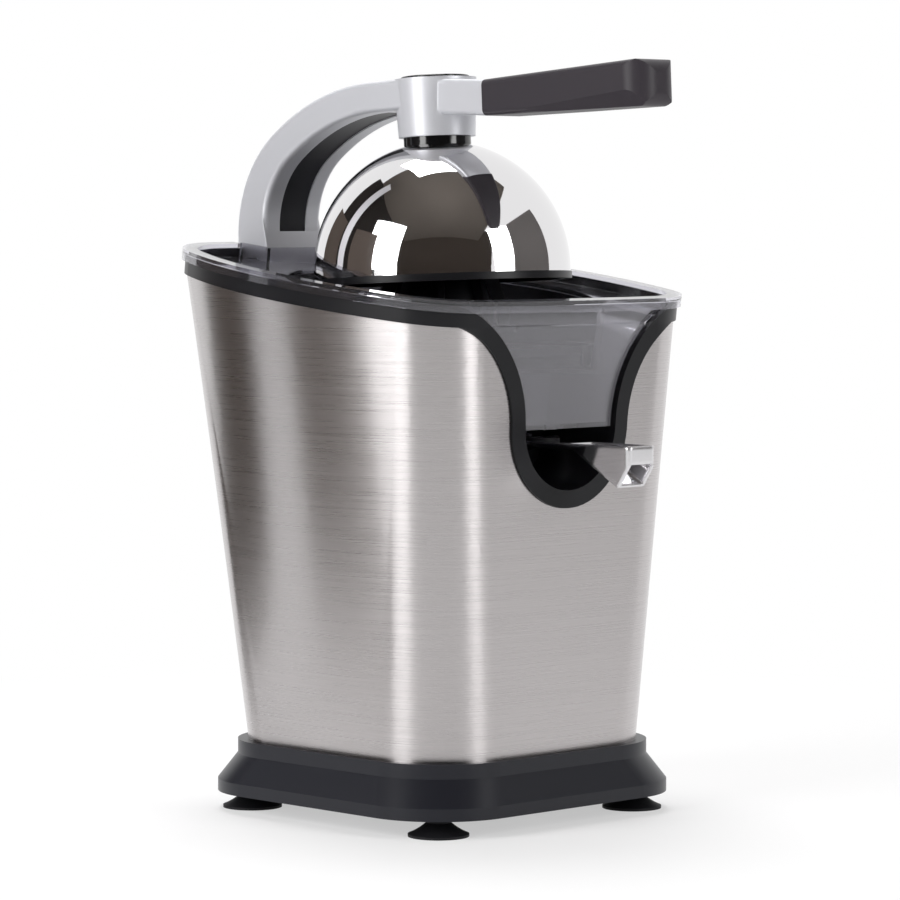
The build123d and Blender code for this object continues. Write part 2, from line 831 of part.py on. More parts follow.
arm_slot_half = hinge_notch_half + arm_gap_tray
arm_slot_front = hinge_y - hinge_eye - arm_gap_tray
with BuildPart() as juice_tray:
    add(tray_lip)
    add(tray_skirt)
    add(tray_side)
    with BuildSketch(rim_level(tray_floor_depth)):
        rim_plan(wall_inset)
    extrude(amount=tray_wall)
    add(tray_bowl.part)
    add(tray_chute.part)
    add(tray_front_wall.part)
    with BuildSketch(Plane.XY.offset(bowl_floor + tray_wall)):
        Circle(bowl_radius)
    extrude(amount=outer_reach, mode=Mode.SUBTRACT)
    add(tray_chute_hollow.part, mode=Mode.SUBTRACT)
    add(tray_front_hollow.part, mode=Mode.SUBTRACT)
    with BuildSketch(Plane.XY.offset(bowl_floor)):
        Circle(chimney_bore + tray_wall)
    extrude(amount=chimney_top - bowl_floor)
    with BuildSketch(Plane.XY.offset(bowl_floor)):
        Circle(chimney_bore)
    extrude(amount=chimney_top - bowl_floor, mode=Mode.SUBTRACT)
    with BuildSketch(Plane.XY.offset(chute_floor - outlet_drop)):
        with Locations((0, outlet_y)):
            Circle(outlet_bore + tray_wall)
    extrude(amount=outlet_drop)
    with BuildSketch(Plane.XY.offset(chute_floor - outlet_drop)):
        with Locations((0, outlet_y)):
            Circle(outlet_bore)
    extrude(amount=outlet_drop + tray_wall, mode=Mode.SUBTRACT)
    with BuildSketch(rim_level(2 * tray_floor_depth)):
        with Locations((0, arm_slot_front)):
            Rectangle(2 * arm_slot_half, outer_reach, align=(Align.CENTER, Align.MIN))
    extrude(amount=outer_reach, mode=Mode.SUBTRACT)
    with BuildSketch(rim_level(tray_floor_depth)):
        with Locations((0, arm_slot_front - tray_wall)):
            Rectangle(
                2 * (arm_slot_half + tray_wall),
                rim_back - wall_inset - arm_slot_front + tray_wall,
                align=(Align.CENTER, Align.MIN),
            )
        with Locations((0, arm_slot_front)):
            Rectangle(2 * arm_slot_half, outer_reach, align=(Align.CENTER, Align.MIN), mode=Mode.SUBTRACT)
    extrude(amount=tray_floor_depth + arm_wall_rise)
finish(juice_tray, "juice_tray")

# Strainer that stands on the tray's floor round the chimney
strainer_outer = bowl_radius - strainer_gap
slot_outer = strainer_outer - slot_margin
strainer_low = bowl_floor + tray_wall + strainer_seat
with BuildPart() as strainer:
    with BuildSketch(Plane.XZ):
        with BuildLine():
            Polyline(
                (strainer_hole, strainer_plate),
                (strainer_hole, chimney_top),
                (strainer_hole + strainer_wall, chimney_top),
                (strainer_hole + strainer_wall, strainer_plate + strainer_wall),
                (strainer_outer - strainer_wall, strainer_plate + strainer_wall),
                (strainer_outer - strainer_wall, strainer_top),
                (strainer_outer, strainer_top),
                (strainer_outer, strainer_low),
                (strainer_outer - strainer_wall, strainer_low),
                (strainer_outer - strainer_wall, strainer_plate),
                close=True,
            )
        make_face()
    revolve(axis=Axis.Z)
    with BuildSketch(Plane.XY.offset(strainer_plate)):
        with PolarLocations((slot_inner + slot_outer) / 2, slot_count):
            SlotOverall(slot_outer - slot_inner, slot_width)
    extrude(amount=strainer_wall, mode=Mode.SUBTRACT)
    with BuildSketch(Plane.XZ.offset(chute_back)):
        with Locations((0, strainer_low)):
            Rectangle(
                2 * (recess_half - tray_gap - tray_wall),
                strainer_plate - strainer_low,
                align=(Align.CENTER, Align.MIN),
            )
    extrude(amount=bowl_radius, mode=Mode.SUBTRACT)
finish(strainer, "strainer")

# Squeezing cone with ribs, hollow beneath, on the six sided top of the shaft
cone_low = cone_base + cone_flange
with BuildPart() as juicing_cone:
    with BuildSketch(Plane.XZ):
        with BuildLine():
            Polyline(
                (cone_core_radius, cone_low),
                (cone_flange_radius, cone_low),
                (cone_flange_radius, cone_base),
                (0, cone_base),
                (0, cone_tip),
            )
            ThreePointArc(
                (0, cone_tip),
                (cone_core_radius * 0.62, cone_low + (cone_tip - cone_low) * 0.58),
                (cone_core_radius, cone_low),
            )
        make_face()
    revolve(axis=Axis.Z)
    with BuildSketch(Plane.XZ.offset(-cone_rib_width / 2)):
        with BuildLine():
            Line((0, cone_low), (cone_rib_radius, cone_low))
            ThreePointArc(
                (cone_rib_radius, cone_low),
                (cone_rib_radius * 0.68, cone_low + (cone_tip - cone_low) * 0.6),
                (0, cone_tip),
            )
            Line((0, cone_tip), (0, cone_low))
        make_face()
    rib = extrude(amount=cone_rib_width, mode=Mode.PRIVATE)
    with PolarLocations(0, cone_ribs):
        add(rib)
    with BuildSketch(Plane.XZ):
        with BuildLine():
            Polyline(
                (cone_hub_radius, cone_base),
                (cone_core_radius - cone_wall, cone_base),
                (cone_core_radius - cone_wall, cone_low + cone_skirt),
                (cone_hub_radius, cone_low + cone_core_radius - cone_wall),
                close=True,
            )
        make_face()
    revolve(axis=Axis.Z, mode=Mode.SUBTRACT)
    with BuildSketch(Plane.XY.offset(cone_base)):
        RegularPolygon((shaft_flats + flats_gap) / 2, 6, major_radius=False)
    extrude(amount=shaft_top - cone_base + flats_gap, mode=Mode.SUBTRACT)
finish(juicing_cone, "juicing_cone")

# Drive shaft: six sided where it slides through the wheel and where it takes the cone
hub_high = cover_top - running_gap
shaft_round_low = cover_top + press_travel + rest_gap
shaft_round_high = cone_base - press_travel
with BuildPart() as drive_shaft:
    with BuildSketch(Plane.XY.offset(shaft_bottom)):
        RegularPolygon(shaft_flats / 2, 6, major_radius=False)
    extrude(amount=shaft_top - shaft_bottom)
    with BuildSketch(Plane.XY.offset(shaft_round_low)):
        Circle(shaft_radius)
    extrude(amount=shaft_round_high - shaft_round_low)
finish(drive_shaft, "drive_shaft")

with BuildPart() as shaft_bush:
    with BuildSketch(Plane.XY.offset(well_floor)):
        Circle(bush_radius)
        Circle(shaft_radius + running_gap, mode=Mode.SUBTRACT)
    extrude(amount=boss_top - well_floor)
finish(shaft_bush, "shaft_bush")

with BuildPart() as shaft_seal:
    with BuildSketch(Plane.XY.offset(boss_top)):
        Circle(seal_radius)
        Circle(shaft_radius + running_gap, mode=Mode.SUBTRACT)
    extrude(amount=seal_height)
    chamfer(shaft_seal.edges().group_by(Axis.Z)[-1].sort_by(SortBy.LENGTH)[-1], seal_height / 3)
finish(shaft_seal, "shaft_seal")

# Gearbox
with BuildPart() as gearbox_case:
    with BuildSketch(Plane.XY.offset(case_floor)):
        Circle(output_radius + case_margin)
        with Locations((0, idler_y)):
            Circle(wheel_radius + case_margin)
        with Locations((rotor_x, rotor_y)):
            Circle(motor_reach)
        make_hull()
    extrude(amount=case_top - case_floor)
    with BuildSketch(Plane.XY.offset(case_top - lug_height)):
        with Locations(*lug_places):
            Circle(lug_radius)
    extrude(amount=lug_height)
    with BuildSketch(Plane.XY.offset(case_floor + case_wall)):
        Circle(output_radius + case_margin - case_wall)
        with Locations((0, idler_y)):
            Circle(wheel_radius + case_margin - case_wall)
        with Locations((rotor_x, rotor_y)):
            Circle(motor_reach - case_wall)
        make_hull()
    extrude(amount=case_top - case_floor, mode=Mode.SUBTRACT)
    with BuildSketch(Plane.XY.offset(upper_shield_top)):
        with Locations(*standoff_places):
            Circle(standoff_radius)
    extrude(amount=case_floor - upper_shield_top)
    with BuildSketch(Plane.XY.offset(upper_shield_top)):
        with Locations(*standoff_places):
            Circle(standoff_screw)
    extrude(amount=case_floor - upper_shield_top, mode=Mode.SUBTRACT)
    with BuildSketch(Plane.XY.offset(case_top - lug_height)):
        with Locations(*lug_places):
            Circle(standoff_screw)
    extrude(amount=lug_height, mode=Mode.SUBTRACT)
    with BuildSketch(Plane.XY.offset(case_floor)):
        Circle(gear_hub + running_gap)
        with Locations((0, idler_y)):
            Circle(axle_radius)
        with Locations((rotor_x, rotor_y)):
            Circle(rotor_shaft * 2)
    extrude(amount=case_wall, mode=Mode.SUBTRACT)
finish(gearbox_case, "gearbox_case")

with BuildPart() as gearbox_cover:
    with BuildSketch(Plane.XY.offset(case_top)):
        Circle(output_radius + case_margin)
        with Locations((0, idler_y)):
            Circle(wheel_radius + case_margin)
        with Locations((rotor_x, rotor_y)):
            Circle(motor_reach)
        make_hull()
        with Locations(*lug_places):
            Circle(lug_radius)
        Circle(gear_hub + running_gap, mode=Mode.SUBTRACT)
        with Locations((0, idler_y)):
            Circle(axle_radius, mode=Mode.SUBTRACT)
        with Locations(*hang_places):
            Circle(standoff_screw, mode=Mode.SUBTRACT)
    extrude(amount=cover_thickness)
    with BuildSketch(Plane.XY.offset(case_top)):
        with Locations(*lug_places):
            Circle(standoff_screw)
    extrude(amount=cover_thickness * 0.7, mode=Mode.SUBTRACT)
finish(gearbox_cover, "gearbox_cover")

# Screws that hang the cover from the floor of the well
with BuildPart() as gearbox_screws:
    with BuildSketch(Plane.XY.offset(case_top - standoff_screw)):
        with Locations(*hang_places):
            Circle(2 * standoff_screw)
    extrude(amount=standoff_screw)
    with BuildSketch(Plane.XY.offset(case_top)):
        with Locations(*hang_places):
            Circle(standoff_screw)
    extrude(amount=well_floor - case_top + floor_thickness / 2)
finish(gearbox_screws, "gearbox_screws")

# Screws that close the case against its cover from below
with BuildPart() as case_screws:
    with BuildSketch(Plane.XY.offset(case_top - lug_height - 2 * standoff_screw)):
        with Locations(*lug_places):
            Circle(2 * standoff_screw)
    extrude(amount=2 * standoff_screw)
    with BuildSketch(Plane.XY.offset(case_top - lug_height)):
        with Locations(*lug_places):
            Circle(standoff_screw)
    extrude(amount=lug_height + cover_thickness * 0.7)
finish(case_screws, "case_screws")

with BuildPart() as output_gear:
    with BuildSketch(Plane.XY.offset(output_low)):
        gear_face(output_teeth, 90)
    extrude(amount=output_high - output_low)
    with BuildSketch(Plane.XY.offset(case_floor)):
        Circle(gear_hub)
    extrude(amount=hub_high - case_floor)
    with BuildSketch(Plane.XY.offset(case_floor)):
        RegularPolygon((shaft_flats + flats_gap) / 2, 6, major_radius=False)
    extrude(amount=hub_high - case_floor, mode=Mode.SUBTRACT)
finish(output_gear, "output_gear")

half_tooth = 180 / idler_teeth
half_wheel_tooth = 180 / wheel_teeth
with BuildPart() as idler_gear:
    with BuildSketch(Plane((0, idler_y, wheel_low))):
        gear_face(wheel_teeth, rotor_bearing + half_wheel_tooth)
    extrude(amount=wheel_high - wheel_low)
    with BuildSketch(Plane((0, idler_y, wheel_high))):
        gear_face(idler_teeth, -90 + half_tooth)
    extrude(amount=output_high - wheel_high)
    with BuildSketch(Plane((0, idler_y, wheel_low))):
        Circle(axle_radius + running_gap)
    extrude(amount=output_high - wheel_low, mode=Mode.SUBTRACT)
finish(idler_gear, "idler_gear")

# Fixed axle of the idler, with a shoulder under the wheel
with BuildPart() as idler_axle:
    with BuildSketch(Plane((0, idler_y, case_floor))):
        Circle(axle_radius)
    extrude(amount=cover_top - case_floor)
    with BuildSketch(Plane((0, idler_y, case_floor + case_wall))):
        Circle(2 * axle_radius)
    extrude(amount=wheel_low - case_floor - case_wall - rest_gap)
finish(idler_axle, "idler_axle")

# Motor
with BuildPart() as motor_stator:
    with BuildSketch(Plane((rotor_x, rotor_y, stack_low))):
        RectangleRounded(stack_side, stack_side, stack_corner)
        Circle(rotor_radius + air_gap, mode=Mode.SUBTRACT)
        with PolarLocations(stack_side / 2, 4, start_angle=45):
            Circle(standoff_screw, mode=Mode.SUBTRACT)
    extrude(amount=stack_height)
finish(motor_stator, "motor_stator")

with BuildPart() as motor_coils:
    for low in (stack_low - coil_height, stack_high):
        with BuildSketch(Plane((rotor_x, rotor_y, low))):
            Circle(coil_outer)
            Circle(rotor_radius + 2 * air_gap, mode=Mode.SUBTRACT)
        extrude(amount=coil_height)
finish(motor_coils, "motor_coils")



def end_shield(low, foot_low):
    # A plate across the motor with a bearing bore and four feet that clamp the stack.
    with BuildPart() as shield:
        with BuildSketch(Plane((rotor_x, rotor_y, low))):
            RectangleRounded(stack_side, stack_side, stack_corner)
        extrude(amount=shield_thickness)
        with BuildSketch(Plane((rotor_x, rotor_y, foot_low))):
            with PolarLocations(stack_side / 2, 4, start_angle=45):
                Circle(standoff_radius)
        extrude(amount=shield_gap)
        with BuildSketch(Plane((rotor_x, rotor_y, min(low, foot_low)))):
            Circle(rotor_shaft + running_gap)
            with PolarLocations(stack_side / 2, 4, start_angle=45):
                Circle(standoff_screw)
        extrude(amount=shield_thickness + shield_gap, mode=Mode.SUBTRACT)
    return shield.part


upper_shield_form = end_shield(upper_shield, stack_high)
lower_shield_form = end_shield(lower_shield, lower_shield_top)

with BuildPart() as motor_bracket_upper:
    add(upper_shield_form)
    with BuildSketch(Plane.XY.offset(upper_shield)):
        with Locations(*standoff_places):
            Circle(standoff_screw)
    extrude(amount=shield_thickness, mode=Mode.SUBTRACT)
    with BuildSketch(Plane.XY.offset(upper_shield)):
        with Locations(*standoff_places):
            Circle(2 * standoff_screw)
    extrude(amount=standoff_screw, mode=Mode.SUBTRACT)
finish(motor_bracket_upper, "motor_bracket_upper")

with BuildPart() as motor_bracket_lower:
    add(lower_shield_form)
finish(motor_bracket_lower, "motor_bracket_lower")

# Screws that hang the motor from the gearbox
with BuildPart() as motor_screws:
    with BuildSketch(Plane.XY.offset(upper_shield)):
        with Locations(*standoff_places):
            Circle(2 * standoff_screw)
    extrude(amount=standoff_screw)
    with BuildSketch(Plane.XY.offset(upper_shield)):
        with Locations(*standoff_places):
            Circle(standoff_screw)
    extrude(amount=shield_thickness + lug_height)
finish(motor_screws, "motor_screws")

# Long bolts that clamp the two brackets on the stack
with BuildPart() as stack_bolts:
    with BuildSketch(Plane((rotor_x, rotor_y, lower_shield - standoff_screw))):
        with PolarLocations(stack_side / 2, 4, start_angle=45):
            Circle(2 * standoff_screw)
    extrude(amount=standoff_screw)
    with BuildSketch(Plane((rotor_x, rotor_y, lower_shield))):
        with PolarLocations(stack_side / 2, 4, start_angle=45):
            Circle(standoff_screw)
    extrude(amount=upper_shield_top - lower_shield)
finish(stack_bolts, "stack_bolts")

with BuildPart() as motor_rotor:
    with BuildSketch(Plane((rotor_x, rotor_y, stack_low + air_gap))):
        Circle(rotor_radius)
    extrude(amount=stack_height - 2 * air_gap)
    with BuildSketch(Plane((rotor_x, rotor_y, fan_low))):
        Circle(rotor_shaft)
    extrude(amount=pinion_high - fan_low)
finish(motor_rotor, "motor_rotor")

with BuildPart() as motor_pinion:
    with BuildSketch(Plane((rotor_x, rotor_y, pinion_low))):
        gear_face(pinion_teeth, rotor_bearing + 180)
        Circle(rotor_shaft, mode=Mode.SUBTRACT)
    extrude(amount=pinion_high - pinion_low)
finish(motor_pinion, "motor_pinion")

with BuildPart() as cooling_fan:
    with BuildSketch(Plane((rotor_x, rotor_y, fan_low))):
        Circle(2 * rotor_shaft)
        with PolarLocations((fan_radius + rotor_shaft) / 2, fan_blades):
            Rectangle(fan_radius - rotor_shaft, fan_blade)
        Circle(rotor_shaft, mode=Mode.SUBTRACT)
    extrude(amount=fan_height)
    with BuildSketch(Plane((rotor_x, rotor_y, fan_low + fan_height - fan_blade))):
        Circle(fan_radius)
        Circle(rotor_shaft, mode=Mode.SUBTRACT)
    extrude(amount=fan_blade)
finish(cooling_fan, "cooling_fan")

# Switch under the drive shaft: the pressed shaft pushes the plunger on to its button
flange_high = plunger_low + spout_thickness - spring_wire
with BuildPart() as switch_plunger:
    with BuildSketch(Plane.XY.offset(plunger_low)):
        Circle(plunger_flange)
        with Locations((0, 0)):
            Rectangle(2 * finger_half, finger_reach, align=(Align.CENTER, Align.MAX))
    extrude(amount=flange_high - plunger_low)
    with BuildSketch(Plane.XY.offset(plunger_low)):
        Circle(plunger_radius)
    extrude(amount=shaft_bottom - running_gap - plunger_low)
finish(switch_plunger, "switch_plunger")

bracket_high = plunger_low - spring_length
bracket_low = bracket_high - bracket_plate
bracket_post = bracket_half - plunger_radius
post_back = plunger_flange + 2 * bracket_post
post_front = finger_reach + 2 * bracket_post
with BuildPart() as switch_bracket:
    with BuildSketch(Plane.XY.offset(bracket_low)):
        with Locations((0, post_back + bracket_post)):
            Rectangle(
                2 * bracket_half, post_back + post_front + 2 * bracket_post, align=(Align.CENTER, Align.MAX)
            )
    extrude(amount=bracket_plate)
    with BuildSketch(Plane.XY.offset(bracket_high)):
        with Locations((0, post_back), (0, -post_front)):
            Circle(bracket_post)
    extrude(amount=case_floor - bracket_high)
finish(switch_bracket, "switch_bracket")

button_radius = finger_half - running_gap
button_top = plunger_low - press_travel - rest_gap
switch_high = button_top - spring_wire
with BuildPart() as microswitch:
    with BuildSketch(Plane.XY.offset(bracket_high)):
        with Locations((0, switch_y)):
            Rectangle(2 * bracket_half - spring_wire, switch_length)
    extrude(amount=switch_high - bracket_high)
    with BuildSketch(Plane.XY.offset(switch_high)):
        with Locations((0, switch_y)):
            Circle(button_radius)
    extrude(amount=button_top - switch_high)
finish(microswitch, "microswitch")

# Coil spring between the switch bracket and the plunger
spring_half = spring_wire / 2
with BuildPart() as return_spring:
    with BuildLine():
        coil = Helix(
            pitch=(spring_length - spring_wire) / spring_turns,
            height=spring_length - spring_wire,
            radius=spring_radius,
            center=(0, 0, bracket_high + spring_half),
        )
    with BuildSketch(Plane(origin=coil @ 0, z_dir=coil % 0)):
        Circle(spring_half)
    sweep(is_frenet=True)
finish(return_spring, "return_spring")

# Drip stop spout
spout_low = spout_pin_z - spout_thickness / 2
spout_high = spout_pin_z + spout_thickness / 2
with BuildPart() as spout_pin:
    with BuildSketch(Plane.YZ.offset(-spout_pin_half)):
        with Locations((spout_pin_y, spout_pin_z)):
            Circle(spout_pin_radius)
    extrude(amount=2 * spout_pin_half)
finish(spout_pin, "spout_pin")

# The beak: a sloped channel between two side walls, with a finger pad across the front over its mouth
bend_y = -rim_front - spout_bend
lip_y = -rim_front - nose_lip
tip_y = -rim_front - nose_reach
nose_low = spout_low - nose_drop
pad_back = tip_y + finger_pad
mouth_top = nose_low + nose_mouth
nose_slope = nose_drop / (nose_lip - spout_bend)
hollow_front = tip_y - spout_half
with BuildPart() as spout:
    with BuildSketch(Plane.YZ):
        with BuildLine():
            Polyline(
                (spout_pin_y, spout_low),
                (bend_y, spout_low),
                (lip_y, nose_low),
                (tip_y, mouth_top),
                (tip_y, spout_high),
                (spout_pin_y, spout_high),
                close=True,
            )
        make_face()
        with Locations((spout_pin_y, spout_pin_z)):
            Circle(spout_eye)
    extrude(amount=spout_half, both=True)
    fillet(spout.edges().filter_by(Axis.Z).group_by(Axis.Y)[0], nose_round)
    with BuildSketch(Plane.YZ):
        with BuildLine():
            Polyline(
                (bend_y + spout_thickness, spout_high + spout_thickness),
                (bend_y + spout_thickness, spout_high - nose_wall / 2),
                (bend_y, spout_low + nose_wall),
                (hollow_front, spout_low + nose_wall - nose_slope * (bend_y - hollow_front)),
                (hollow_front, mouth_top),
                (pad_back, mouth_top),
                (pad_back, spout_high + spout_thickness),
                close=True,
            )
        make_face()
    extrude(amount=spout_half - nose_wall, both=True, mode=Mode.SUBTRACT)
    with BuildSketch(Plane.YZ.offset(-spout_half)):
        with Locations((spout_pin_y, spout_pin_z)):
            Circle(spout_pin_radius + running_gap)
    extrude(amount=2 * spout_half, mode=Mode.SUBTRACT)
finish(spout, "spout")

with BuildPart() as spout_pad:
    with BuildSketch(Plane.XY.offset(spout_high)):
        with Locations((0, outlet_y)):
            Circle(pad_radius)
    extrude(amount=pad_height)
finish(spout_pad, "spout_pad")

# Hinge at the back of the rim
cheek_inner = hinge_notch_half
bridge_top = notch_floor - notch_clear
bridge_low = bridge_top - cheek_thickness
bridge_back = hinge_y + notch_clear
with BuildPart() as hinge_bracket:
    for side in (-1, 1):
        with BuildSketch(Plane.YZ.offset(side * (cheek_inner + cheek_outer) / 2)):
            with Locations((hinge_y, hinge_z)):
                Circle(cheek_eye)
            with Locations((bridge_back, bridge_low)):
                Rectangle(
                    bridge_back - deck_slot_front - notch_clear, hinge_z - bridge_low, align=(Align.MAX, Align.MIN)
                )
        extrude(amount=cheek_thickness / 2, both=True)
    with BuildSketch(Plane.XY.offset(bridge_low)):
        with Locations((0, bridge_back)):
            Rectangle(
                2 * cheek_outer, bridge_back - deck_slot_front - notch_clear, align=(Align.CENTER, Align.MAX)
            )
    extrude(amount=bridge_top - bridge_low)
    with BuildSketch(rim_level(trim_bottom)):
        with Locations((0, flange_front)):
            Rectangle(
                2 * (cheek_outer + flange_width),
                hinge_y + flange_width / 2 - flange_front,
                align=(Align.CENTER, Align.MIN),
            )
        with Locations((0, flange_front)):
            Rectangle(
                2 * cheek_inner, 2 * outer_reach, align=(Align.CENTER, Align.CENTER), mode=Mode.SUBTRACT
            )
        with Locations(*hinge_screw_places):
            Circle(standoff_screw, mode=Mode.SUBTRACT)
    extrude(amount=-deck_thickness)
    with BuildSketch(Plane.YZ.offset(-cheek_outer)):
        with Locations((hinge_y, hinge_z)):
            Circle(hinge_pin)
    extrude(amount=2 * cheek_outer, mode=Mode.SUBTRACT)
finish(hinge_bracket, "hinge_bracket")

with BuildPart() as hinge_screws:
    with BuildSketch(rim_level(trim_bottom + deck_thickness)):
        with Locations(*hinge_screw_places):
            Circle(2 * standoff_screw)
    extrude(amount=-standoff_screw)
    with BuildSketch(rim_level(trim_bottom + deck_thickness)):
        with Locations(*hinge_screw_places):
            Circle(standoff_screw)
    extrude(amount=deck_thickness + deck_thickness / 2)
finish(hinge_screws, "hinge_screws")

with BuildPart() as hinge_rod:
    with BuildSketch(Plane.YZ.offset(-cheek_outer)):
        with Locations((hinge_y, hinge_z)):
            Circle(hinge_pin)
    extrude(amount=2 * cheek_outer)
finish(hinge_rod, "hinge_rod")

# The lever stands a little open at rest, so its pieces are drawn on turned planes
lift_sin = sin(radians(lever_lift))
lift_cos = cos(radians(lever_lift))
lever_up = (0, lift_sin, lift_cos)


def lever_point(y, z):
    return (0, hinge_y + y * lift_cos + z * lift_sin, hinge_z - y * lift_sin + z * lift_cos)


def lever_side(y):
    # Upright plane along the lever, with its origin a distance y from the hinge.
    return Plane(origin=lever_point(y, 0), x_dir=(0, lift_cos, -lift_sin), z_dir=(1, 0, 0))


def lever_level(y, z):
    return Plane(origin=lever_point(y, z), x_dir=(1, 0, 0), z_dir=lever_up)


def lever_cross(y, z):
    return Plane(origin=lever_point(y, z), x_dir=(1, 0, 0), z_dir=(0, -lift_cos, lift_sin))


def bend_point(start, radius, angle_from, angle):
    # A point on a bend that turns from upright towards the front.
    forward = radius * (cos(radians(angle_from)) - cos(radians(angle)))
    rise = radius * (sin(radians(angle)) - sin(radians(angle_from)))
    return (start[0] - forward, start[1] + rise)


def arm_path(start_y, first_radius, second_radius, top):
    # Points of one face of the arm: foot of the bend, its middle, the crown's start, middle and end.
    bend_sin = sin(radians(bend_angle))
    start = (start_y, top - first_radius * bend_sin - second_radius * (1 - bend_sin))
    first_mid = bend_point(start, first_radius, 0, bend_angle / 2)
    first_end = bend_point(start, first_radius, 0, bend_angle)
    crown_mid = bend_point(first_end, second_radius, bend_angle, (bend_angle + 90) / 2)
    crown_end = bend_point(first_end, second_radius, bend_angle, 90)
    return (start, first_mid, first_end, crown_mid, crown_end)


arm_back = arm_path(leg_back, bend_outer, crown_outer, arm_top)
arm_face = arm_path(-leg_front, bend_inner, crown_inner, arm_under)
sink = insert_sink
strip_face = arm_path(-leg_front + sink, bend_inner + sink, crown_inner + sink, arm_under + sink)
deep = insert_sink + insert_depth
strip_back = arm_path(-leg_front + deep, bend_inner + deep, crown_inner + deep, arm_under + deep)
hub_low = arm_top - hub_height
stub_end = -press_reach - stub_length
grip_axis = arm_top - grip_drop
stub_height = arm_top - arm_under + stub_drop / 2
dome_axis = Axis(lever_point(-press_reach, 0), lever_up)
dome_centre = hub_low - collar_gap - dome_radius
cap_low = arm_top - cap_pocket
head_low = cap_low - bolt_head_height

with BuildPart() as lever_arm:
    with BuildSketch(lever_side(0)):
        with BuildLine():
            Line((hinge_eye, 0), arm_back[0])
            ThreePointArc(arm_back[0], arm_back[1], arm_back[2])
            ThreePointArc(arm_back[2], arm_back[3], arm_back[4])
            Polyline(arm_back[4], (-press_reach, arm_top), (-press_reach, arm_under), arm_face[4])
            ThreePointArc(arm_face[4], arm_face[3], arm_face[2])
            ThreePointArc(arm_face[2], arm_face[1], arm_face[0])
            Polyline(arm_face[0], (-hinge_eye, 0), (hinge_eye, 0))
        make_face()
        Circle(hinge_eye)
    extrude(amount=arm_half, both=True)
    arm_edges = lever_arm.faces().filter_by(Axis.X).edges()
    fillet(arm_edges.filter_by(lambda e: e.center().Z > hinge_z + hinge_eye and e.length > arm_half), arm_round)
    with BuildSketch(lever_level(-press_reach, hub_low)):
        Circle(hub_foot_radius)
    with BuildSketch(lever_level(-press_reach, arm_top)):
        Circle(hub_radius)
    loft()
    with BuildSketch(lever_cross(-press_reach, arm_top - stub_height / 2)):
        RectangleRounded(2 * stub_half, stub_height, arm_round)
    with BuildSketch(lever_cross(stub_end, grip_axis)):
        RectangleRounded(2 * stub_half, grip_height, arm_round)
    loft(ruled=True)
    with BuildSketch(lever_cross(stub_end, grip_axis)):
        Rectangle(2 * tang_half, tang_height)
    extrude(amount=tang_length)
    with BuildSketch(lever_side(0)):
        with BuildLine():
            Line(arm_face[0], strip_back[0])
            ThreePointArc(strip_back[0], strip_back[1], strip_back[2])
            ThreePointArc(strip_back[2], strip_back[3], strip_back[4])
            Line(strip_back[4], arm_face[4])
            ThreePointArc(arm_face[4], arm_face[3], arm_face[2])
            ThreePointArc(arm_face[2], arm_face[1], arm_face[0])
        make_face()
    extrude(amount=insert_half, both=True, mode=Mode.SUBTRACT)
    with BuildSketch(lever_level(-press_reach, hub_low)):
        Circle(bolt_radius)
    extrude(amount=hub_height, mode=Mode.SUBTRACT)
    with BuildSketch(lever_level(-press_reach, head_low)):
        Circle(bolt_head)
    extrude(amount=bolt_head_height, mode=Mode.SUBTRACT)
    with BuildSketch(lever_level(-press_reach, cap_low)):
        Circle(cap_radius)
    extrude(amount=hub_height, mode=Mode.SUBTRACT)
    with BuildSketch(Plane.YZ.offset(-arm_half)):
        with Locations((hinge_y, hinge_z)):
            Circle(hinge_bush)
    extrude(amount=2 * arm_half, mode=Mode.SUBTRACT)
finish(lever_arm, "lever_arm")

with BuildPart() as arm_insert:
    with BuildSketch(lever_side(0)):
        with BuildLine():
            Line(strip_face[0], strip_back[0])
            ThreePointArc(strip_back[0], strip_back[1], strip_back[2])
            ThreePointArc(strip_back[2], strip_back[3], strip_back[4])
            Line(strip_back[4], strip_face[4])
            ThreePointArc(strip_face[4], strip_face[3], strip_face[2])
            ThreePointArc(strip_face[2], strip_face[1], strip_face[0])
        make_face()
    extrude(amount=insert_half, both=True)
finish(arm_insert, "arm_insert")

with BuildPart() as hub_cap:
    with BuildSketch(lever_level(-press_reach, cap_low)):
        Circle(cap_radius)
    extrude(amount=cap_height)
    fillet(hub_cap.edges().group_by(Axis.Z)[-1], cap_height / 4)
finish(hub_cap, "hub_cap")

with BuildPart() as hinge_bushes:
    for side in (-1, 1):
        with BuildSketch(Plane.YZ.offset(side * arm_half * 0.75)):
            with Locations((hinge_y, hinge_z)):
                Circle(hinge_bush)
                Circle(hinge_pin + running_gap, mode=Mode.SUBTRACT)
        extrude(amount=arm_half / 4, both=True)
finish(hinge_bushes, "hinge_bushes")

# Grip: taller and round at its end, with a long bevel that widens along each lower edge
grip_end = stub_end - grip_length
end_height = grip_height + grip_flare
grip_bottom = grip_axis - grip_height / 2
end_bottom = grip_axis - end_height / 2


def bevel_plane(side):
    # Cuts nothing at the start of the bevel and a full corner at the grip's end.
    start = Vector(*lever_point(stub_end - bevel_start, grip_bottom)) + Vector(side * grip_half, 0, 0)
    high = Vector(*lever_point(grip_end, end_bottom + bevel_rise)) + Vector(side * grip_half, 0, 0)
    low = Vector(*lever_point(grip_end, end_bottom)) + Vector(side * (grip_half - bevel_width), 0, 0)
    normal = (high - start).cross(low - start)
    outward = Vector(side, 0, -1)
    if normal.dot(outward) < 0:
        normal = normal * -1
    return Plane(origin=start, z_dir=normal)


